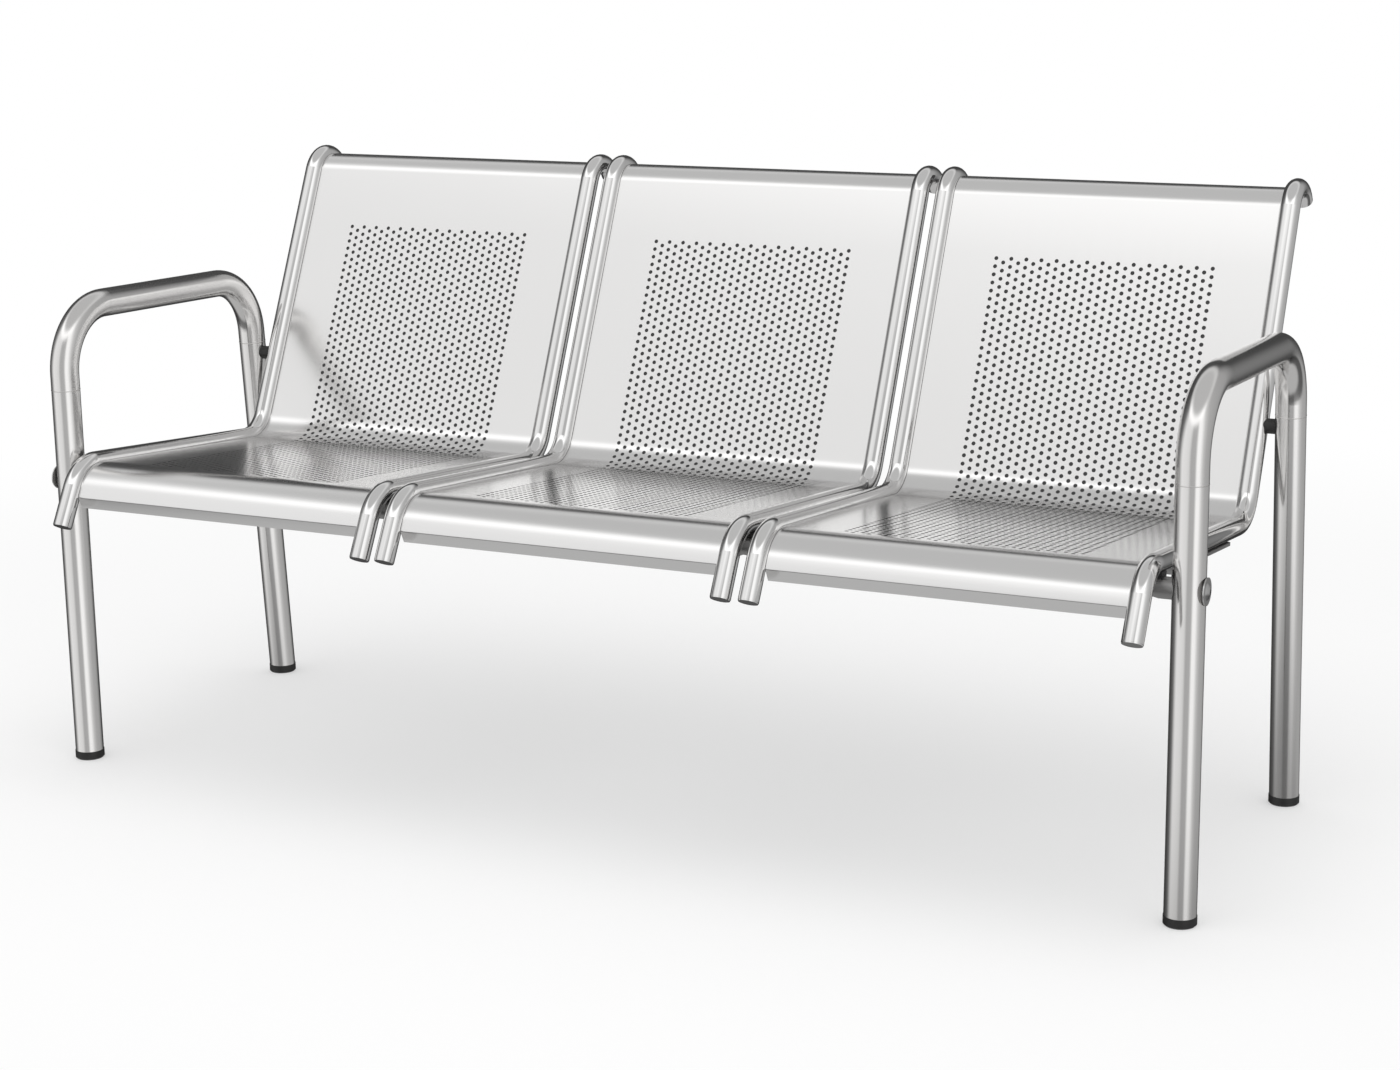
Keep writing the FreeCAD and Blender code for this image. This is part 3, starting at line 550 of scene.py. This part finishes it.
@dataclass
class Perforation:
    """Field of round holes in staggered columns."""

    columns: int = 29
    rows: int = 62
    spacing: float = 10.36 * MM
    pitch: float = 11.15 * MM
    hole: float = 5.6 * MM
    top: float = 288 * MM

    def tile(self) -> bpy.types.Object:
        """Models one hole in the hexagon of sheet round it.

        Returns:
            The tile, centred on the origin, with the sheet's length along X.
        """
        reach = self.spacing * 2.0 / 3.0
        bpy.ops.object.select_all(action="DESELECT")
        bpy.ops.mesh.primitive_circle_add(vertices=6, radius=reach, location=(0.0, 0.0, 0.0))
        tile = bpy.context.object
        tile.name = "hole_tile"
        bpy.ops.object.mode_set(mode="EDIT")
        bpy.ops.mesh.select_all(action="SELECT")
        stretch = self.pitch / 2.0 / (reach * math.cos(math.radians(30.0)))
        bpy.ops.transform.resize(value=(stretch, 1.0, 1.0), center_override=(0.0, 0.0, 0.0))
        bpy.ops.mesh.subdivide(number_cuts=1)
        bpy.ops.mesh.primitive_circle_add(vertices=12, radius=self.hole / 2.0,
                                          location=(0.0, 0.0, 0.0))
        bpy.ops.mesh.select_all(action="SELECT")
        bpy.ops.mesh.bridge_edge_loops()
        bpy.ops.object.mode_set(mode="OBJECT")
        return tile

    def field(self, top_row: float) -> bpy.types.Object:
        """Repeats the tile over the whole field and joins it into one mesh.

        Args:
            top_row: Developed length at which the uppermost holes lie.

        Returns:
            The flat field, with the sheet's length along X and its width along Y.
        """
        even = self.tile()
        odd = duplicate(even, "odd_columns")
        half = self.columns // 2
        placed = ((even, top_row, -half * self.spacing, half + 1),
                  (odd, top_row - self.pitch / 2.0, (1 - half) * self.spacing, half))
        for columns, length, across, count in placed:
            columns.location = (length, across, 0.0)
            apply_place(columns)
            for number, offset in ((self.rows, (-self.pitch, 0.0, 0.0)),
                                   (count, (0.0, 2.0 * self.spacing, 0.0))):
                apply_modifier(columns, "ARRAY", count=number, use_relative_offset=False,
                               use_constant_offset=True, constant_offset_displace=offset)
        only(even, odd)
        bpy.ops.object.join()
        bpy.ops.object.mode_set(mode="EDIT")
        bpy.ops.mesh.select_all(action="SELECT")
        bpy.ops.mesh.remove_doubles(threshold=0.05 * MM)
        return even


@dataclass
class SeatSheets:
    """The three formed sheets, each with a perforated field, a turned-in hem and a curled top."""

    thickness: float = 1.5 * MM
    bend_step: float = 3 * MM
    perforation: Perforation = field(default_factory=Perforation)
    outline: SeatOutline = field(default_factory=lambda: SeatOutline((-270.29 * MM, 420 * MM)))

    def flat_sheet(self, width: float) -> bpy.types.Object:
        """Models the cut sheet before it is formed.

        Args:
            width: The sheet's width.

        Returns:
            The sheet without thickness, length along X from the hem's free edge, width along Y.
        """
        holes = self.perforation
        marks = self.outline.stations()
        back_start = marks[6]
        top_row = back_start + holes.top
        low_row = top_row - (holes.rows - 1) * holes.pitch
        sheet = holes.field(top_row)
        side_line = (holes.columns // 2 + 1.0 / 3.0) * holes.spacing
        rim = holes.hole * 0.3
        hair = 0.02 * MM
        edge_line = width / 2.0

        def outer(test: Callable[[Vector], bool]) -> Callable[[bmesh.types.BMEdge], bool]:
            """A test for open edges, hole rims aside, by their half-way point."""
            return lambda edge: (edge.is_boundary and edge.calc_length() > rim
                                 and test(middle(edge)))

        for sign in (-1.0, 1.0):
            pick_edges(sheet, outer(lambda spot: spot.y * sign > side_line - hair))
            draw_out(1, sign * edge_line)
        pick_edges(sheet, outer(lambda spot: spot.x > top_row - hair
                                and abs(spot.y) < edge_line - hair))
        draw_out(0, marks[7])
        self.bend_rows(marks[7], marks[8])
        draw_out(0, marks[9])
        pick_edges(sheet, outer(lambda spot: spot.x < low_row - holes.pitch / 2.0 + hair
                                and abs(spot.y) < edge_line - hair))
        draw_out(0, marks[4])
        self.bend_rows(marks[4], marks[3])
        draw_out(0, marks[2])
        pick_edges(sheet, outer(lambda spot: spot.x < marks[2] + hair
                                and abs(spot.y) < edge_line - hair))
        self.bend_rows(marks[2], marks[1])
        draw_out(0, marks[0])
        bpy.ops.mesh.select_all(action="SELECT")
        bpy.ops.mesh.normals_make_consistent(inside=False)
        bpy.ops.object.mode_set(mode="OBJECT")
        return sheet

    def bend_rows(self, start: float, end: float) -> None:
        """Draws the selected edges out in short steps, so that the stretch can bend.

        Args:
            start: Developed length where the bend starts.
            end: Developed length where it ends.
        """
        steps = max(4, math.ceil(abs(end - start) / self.bend_step))
        for step in range(1, steps + 1):
            draw_out(0, start + (end - start) * step / steps)

    def form(self, sheet: bpy.types.Object) -> None:
        """Bends the flat sheet along the outline and gives it its thickness.

        Args:
            sheet: The flat sheet. It ends on the bench's middle plane.
        """
        self.outline.bend(sheet)
        for _ in range(2):
            sheet.data.materials.append(None)
        apply_modifier(sheet, "SOLIDIFY", thickness=self.thickness, offset=0.0,
                       use_even_offset=True, material_offset_rim=1)
        only(sheet)
        bpy.ops.object.shade_smooth_by_angle(angle=math.radians(32.0))

    def build(self) -> dict[Seat, bpy.types.Object]:
        """Models the three sheets.

        Returns:
            The sheets by seat.
        """
        low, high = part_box("middle_seat_sheet")
        master = self.flat_sheet(high[0] - low[0])
        self.form(master)
        made = {}
        for seat in Seat:
            low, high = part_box(f"{seat.value}_seat_sheet")
            piece = duplicate(master, f"{seat.value}_perforated_sheet")
            piece.location.x = (low[0] + high[0]) / 2.0
            apply_place(piece)
            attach(piece, BODY)
            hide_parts(f"{seat.value}_seat_sheet")
            made[seat] = piece
            log.info("%s: %d faces", piece.name, len(piece.data.polygons))
        bpy.data.objects.remove(master)
        return made

    def dress(self, pieces: dict[Seat, bpy.types.Object]) -> None:
        """Gives the sheets their finish, and the punched holes and cut edges a rougher one, darkened with
        painted shade.

        Args:
            pieces: The sheets by seat.
        """
        finish, edge = SATIN_SHEET.material(), CUT_EDGE_SHADE.material()
        for piece in pieces.values():
            piece.data.materials[0] = finish
            piece.data.materials[1] = edge


def finish_nodes(finish: Steel | Moulding, names: list[str]) -> None:
    """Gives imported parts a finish.

    Args:
        finish: The finish.
        names: Names of the parts' nodes.
    """
    material = finish.material()
    for name in names:
        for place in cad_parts[name].material_slots:
            place.material = material
        log.info("%s: %s", name, finish.name)


@dataclass
class SideTubes:
    """The six bent side tubes with the discs that close their ends."""

    def dress(self) -> None:
        """Gives the tubes and discs their polish."""
        tubes = [f"{seat.value}_seat_{side.value}_tube" for seat in Seat for side in Side]
        finish_nodes(POLISHED_TUBE, tubes + ["front_tube_end_discs", "rear_tube_end_discs"])


@dataclass
class LegFrames:
    """The two leg frames: front and rear legs, armrest hoops, feet and spacers."""

    weld_height: float = 514 * MM
    front_depth: float = -270.29 * MM
    rear_depth: float = 159.92 * MM
    splay: float = 4.094
    weld_radius: float = 0.7 * MM
    weld_sink: float = 0.315 * MM

    def build(self) -> list[bpy.types.Object]:
        """Models the ground weld bead round each joint of a leg with its armrest hoop.

        Returns:
            The beads.
        """
        made = []
        for side in Side:
            low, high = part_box(f"{side.value}_arm_hoop")
            across = (low[0] + high[0]) / 2.0
            for end, depth, lean in (("front", self.front_depth, 0.0),
                                     ("rear", self.rear_depth, self.splay)):
                bpy.ops.object.select_all(action="DESELECT")
                bpy.ops.mesh.primitive_torus_add(
                    major_radius=(high[0] - low[0]) / 2.0 - self.weld_sink,
                    minor_radius=self.weld_radius, major_segments=64, minor_segments=10,
                    location=(across, depth, self.weld_height),
                    rotation=(math.radians(lean), 0.0, 0.0))
                bead = bpy.context.object
                bead.name = f"{side.value}_{end}_leg_weld"
                apply_place(bead)
                bpy.ops.object.shade_smooth()
                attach(bead, BODY)
                made.append(bead)
        return made

    def dress(self, beads: list[bpy.types.Object]) -> None:
        """Gives the tubes their satin finish, and the welds and the plastic parts theirs.

        Args:
            beads: The weld beads.
        """
        weld = WELD_STEEL.material()
        for bead in beads:
            bead.data.materials.append(weld)
        tubes = [f"{side.value}_{part}" for side in Side
                 for part in ("front_leg", "rear_leg", "arm_hoop")]
        feet = [f"{side.value}_{end}_foot" for side in Side for end in ("front", "rear")]
        finish_nodes(SATIN_TUBE, tubes)
        finish_nodes(BLACK_PLASTIC, feet + ["rear_leg_spacers", "front_saddles",
                                            "rear_cross_tube_caps"])


@dataclass
class Underframe:
    """The cross tubes and seat plates under the seats."""

    def dress(self) -> None:
        """Gives the tubes and plates a dark steel, darker and rougher than the other steel parts."""
        plates = [f"{side.value}_{place}_seat_plate" for side in Side for place in ("end", "pair")]
        finish_nodes(DARK_STEEL, ["front_cross_tube", "rear_cross_tube"] + plates)


@dataclass
class Fasteners:
    """Bolts, nuts, washers and threaded inserts."""

    def dress(self) -> None:
        """Gives the fasteners their finish."""
        names = ["side_tube_inserts", "front_seat_bolts", "rear_seat_bolts", "rear_seat_nuts",
                 "leg_bolts", "leg_washers", "back_tube_inserts", "rear_leg_inserts",
                 "rear_leg_studs", "front_cross_tube_plugs"]
        finish_nodes(FASTENER_STEEL, names)


# Studio


@dataclass
class Viewpoint:
    """The camera at the photograph's viewing angle."""

    azimuth: float = 26.188
    elevation: float = 13.334
    roll: float = -0.786
    place: tuple[float, float, float] = (1.59445, -3.16724, 1.16585)
    focal_pixels: float = 2763.49
    width_pixels: float = 1400.0

    def build(self) -> bpy.types.Object:
        """Adds the camera.

        Returns:
            The camera.
        """
        turn, lift, roll = (math.radians(angle) for angle in
                            (self.azimuth, self.elevation, self.roll))
        back = Vector((math.sin(turn) * math.cos(lift), -math.cos(turn) * math.cos(lift),
                       math.sin(lift)))
        right = Vector((math.cos(turn), math.sin(turn), 0.0))
        up = back.cross(right)
        level_right = right * math.cos(roll) + up * math.sin(roll)
        level_up = up * math.cos(roll) - right * math.sin(roll)
        camera = bpy.data.cameras.new("viewpoint")
        camera.sensor_width = 36.0
        camera.lens = self.focal_pixels / self.width_pixels * camera.sensor_width
        camera.clip_end = 60.0
        view = bpy.data.objects.new("viewpoint", camera)
        axes = Matrix((level_right, level_up, back)).transposed()
        view.matrix_world = Matrix.Translation(self.place) @ axes.to_4x4()
        bpy.context.scene.collection.objects.link(view)
        bpy.context.scene.camera = view
        return view


@dataclass
class Studio:
    """Plain pale floor, and soft light: bright fields in front, a dim room behind.

    Light levels go by the side that the light comes from, in degrees from straight in front
    towards the right, and by its height, the sine of its angle above the horizon. The canopy is
    the bright band above the sides, the skirting a dim band below them. Each rise gives the
    heights between which a zone sets in.
    """

    floor_size: float = 40.0
    floor_level: float = 0.97
    floor_glow: float = 0.42
    floor_fade: tuple[float, float] = (1.3, 2.6)
    fill: float = 0.8
    # Cards close behind the sheets are painted shade that darkens the holes.
    hole_shade_gap: float = 4 * MM
    hole_shade_margin: float = 12 * MM
    hole_shade_rows: int = 240
    # Glow of the painted shade seen through the holes.
    hole_shade_level: float = 0.06
    sides: tuple[tuple[float, float], ...] = (
        (-180.0, 0.05), (-112.0, 0.06), (-86.0, 0.16), (-58.0, 0.80), (-30.0, 0.76), (-10.0, 0.70),
        (3.0, 0.42), (32.0, 0.44), (44.0, 0.98), (62.0, 0.96), (84.0, 0.56), (104.0, 0.42),
        (150.0, 0.34), (172.0, 0.06), (180.0, 0.05))
    side_strength: float = 1.25
    canopy: float = 1.45
    rear_canopy: float = 0.75
    overhead: float = 0.60
    underfoot: float = 0.55
    skirting: float = 0.75
    canopy_rise: tuple[float, float] = (0.59, 0.74)
    overhead_rise: tuple[float, float] = (0.74, 0.86)
    underfoot_rise: tuple[float, float] = (0.35, 0.8)
    skirting_rise: tuple[float, float] = (0.32, 0.42)
    skirting_end: tuple[float, float] = (0.60, 0.75)
    front_share: tuple[float, float] = (-0.1, 0.4)
    lamp_place: tuple[float, float, float] = (0.2, -0.3, 3.2)
    lamp_size: float = 2.4
    lamp_power: float = 30.0
    lamp_aim: float = 0.45

    def build(self) -> None:
        """Builds the floor, the world and the lamps."""
        bpy.ops.object.select_all(action="DESELECT")
        bpy.ops.mesh.primitive_plane_add(size=self.floor_size, location=(0.0, 0.0, 0.0))
        floor = bpy.context.object
        floor.name = "studio_floor"
        floor.data.materials.append(self.floor_material())
        floor.visible_glossy = False
        # Painted shade behind the holes, seen only by the camera.
        self.hang_hole_shades()
        self.light_world()
        self.add_lamp()

    def hang_hole_shades(self) -> None:
        """Puts painted shade close behind each sheet: a dark card, seen only by the camera and only
        through the holes, that makes the holes look dark.
        """
        outline = SeatSheets().outline
        marks = outline.stations()
        finish = self.hole_shade_material()
        for seat in Seat:
            low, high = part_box(f"{seat.value}_seat_sheet")
            bpy.ops.object.select_all(action="DESELECT")
            bpy.ops.mesh.primitive_grid_add(
                x_subdivisions=self.hole_shade_rows, y_subdivisions=1, size=1.0,
                location=((marks[4] + marks[7]) / 2.0, 0.0, self.hole_shade_gap))
            card = bpy.context.object
            card.name = f"painted_hole_shade_{seat.value}"
            card.scale = (marks[7] - marks[4], high[0] - low[0] - self.hole_shade_margin, 1.0)
            apply_place(card)
            outline.bend(card)
            card.location.x = (low[0] + high[0]) / 2.0
            apply_place(card)
            card.data.materials.append(finish)
            # The painted shade shows only to the camera and takes no part in light, reflections or shadow.
            card.visible_diffuse = False
            card.visible_glossy = False
            card.visible_shadow = False

    def hole_shade_material(self) -> bpy.types.Material:
        """Painted shade: plain dark grey that glows on the side towards the sheet, and nothing on the
        other.

        Returns:
            The painted shade's material.
        """
        made = bpy.data.materials.new("painted_hole_shade")
        made.use_nodes = True
        graph = Graph(made.node_tree)
        behind = graph.value("ShaderNodeNewGeometry", output="Backfacing")
        dark = graph.value("ShaderNodeEmission", Color=grey(self.hole_shade_level))
        clear = graph.value("ShaderNodeBsdfTransparent")
        surface = graph.value("ShaderNodeMixShader", n0=behind, n1=clear, n2=dark)
        graph.node("ShaderNodeOutputMaterial", Surface=surface)
        return made

    def floor_material(self) -> bpy.types.Material:
        """Pale floor that takes the bench's shadow and fades to white away from it.

        Returns:
            The floor's material.
        """
        made = bpy.data.materials.new("studio_floor")
        made.use_nodes = True
        graph = Graph(made.node_tree)
        place = graph.value("ShaderNodeTexCoord", output="Object")
        away = graph.value("ShaderNodeVectorMath", {"operation": "LENGTH"}, "Value", n0=place)
        seen = graph.value("ShaderNodeLightPath", output="Is Camera Ray")
        white_share = away.step(*self.floor_fade) * (1.0 - self.floor_glow) + self.floor_glow
        matt = graph.value("ShaderNodeBsdfDiffuse", Color=grey(self.floor_level))
        white = graph.value("ShaderNodeEmission", Color=grey(1.0))
        surface = graph.value("ShaderNodeMixShader", n0=seen * white_share, n1=matt, n2=white)
        graph.node("ShaderNodeOutputMaterial", Surface=surface)
        return made

    def light_world(self) -> None:
        """White to the camera, an even fill to matt surfaces and the room's light to metal."""
        world = bpy.data.worlds.new("studio")
        bpy.context.scene.world = world
        world.use_nodes = True
        graph = Graph(world.node_tree)
        way = graph.value("ShaderNodeTexCoord", output="Generated")
        split = graph.node("ShaderNodeSeparateXYZ", n0=way)
        across, depth, height = (Value(graph, split.outputs[axis]) for axis in range(3))
        side = across.math("ARCTAN2", across, depth * -1.0) * (0.5 / math.pi) + 0.5
        stops = [(angle / 360.0 + 0.5, level) for angle, level in self.sides]
        ring = graph.value("ShaderNodeValToRGB", {"stops": stops}, n0=side) * self.side_strength
        depression = height * -1.0
        up = height.step(*self.overhead_rise)
        down = depression.step(*self.underfoot_rise)
        canopy = height.step(*self.canopy_rise)
        skirting = (depression.step(*self.skirting_rise)
                    * (1.0 - depression.step(*self.skirting_end)))
        facing = (depth * -1.0).step(*self.front_share)
        rows = facing * (self.canopy - self.rear_canopy) + self.rear_canopy
        room = ring * (1.0 - canopy) + canopy * rows
        level = room * (1.0 - up) * (1.0 - down) + up * self.overhead + down * self.underfoot
        level = level * (1.0 - skirting * self.skirting)
        paths = graph.node("ShaderNodeLightPath")
        seen = Value(graph, paths.outputs["Is Camera Ray"])
        mirrored = Value(graph, paths.outputs["Is Glossy Ray"])
        strength = mirrored * level + (1.0 - mirrored) * self.fill
        strength = seen + (1.0 - seen) * strength
        light = graph.value("ShaderNodeBackground", Strength=strength, Color=grey(1.0))
        graph.node("ShaderNodeOutputWorld", Surface=light)

    def add_lamp(self) -> None:
        """Adds a soft square lamp overhead, which doesn't show in the metal."""
        light = bpy.data.lights.new("overhead_lamp", "AREA")
        light.shape = "SQUARE"
        light.size = self.lamp_size
        light.energy = self.lamp_power
        lamp = bpy.data.objects.new("overhead_lamp", light)
        lamp.location = self.lamp_place
        aim = Vector((0.0, 0.0, self.lamp_aim)) - Vector(self.lamp_place)
        lamp.rotation_euler = aim.to_track_quat("-Z", "Y").to_euler()
        lamp.visible_glossy = False
        bpy.context.scene.collection.objects.link(lamp)


def main() -> None:
    """Builds and dresses the bench and the studio round it."""
    logging.basicConfig(level=logging.INFO, format="%(name)s: %(message)s")
    bpy.context.scene.view_settings.view_transform = "Standard"
    Viewpoint().build()
    sheets = SeatSheets()
    sheets.dress(sheets.build())
    SideTubes().dress()
    frames = LegFrames()
    frames.dress(frames.build())
    Underframe().dress()
    Fasteners().dress()
    Studio().build()


if __name__ == "__main__":
    main()
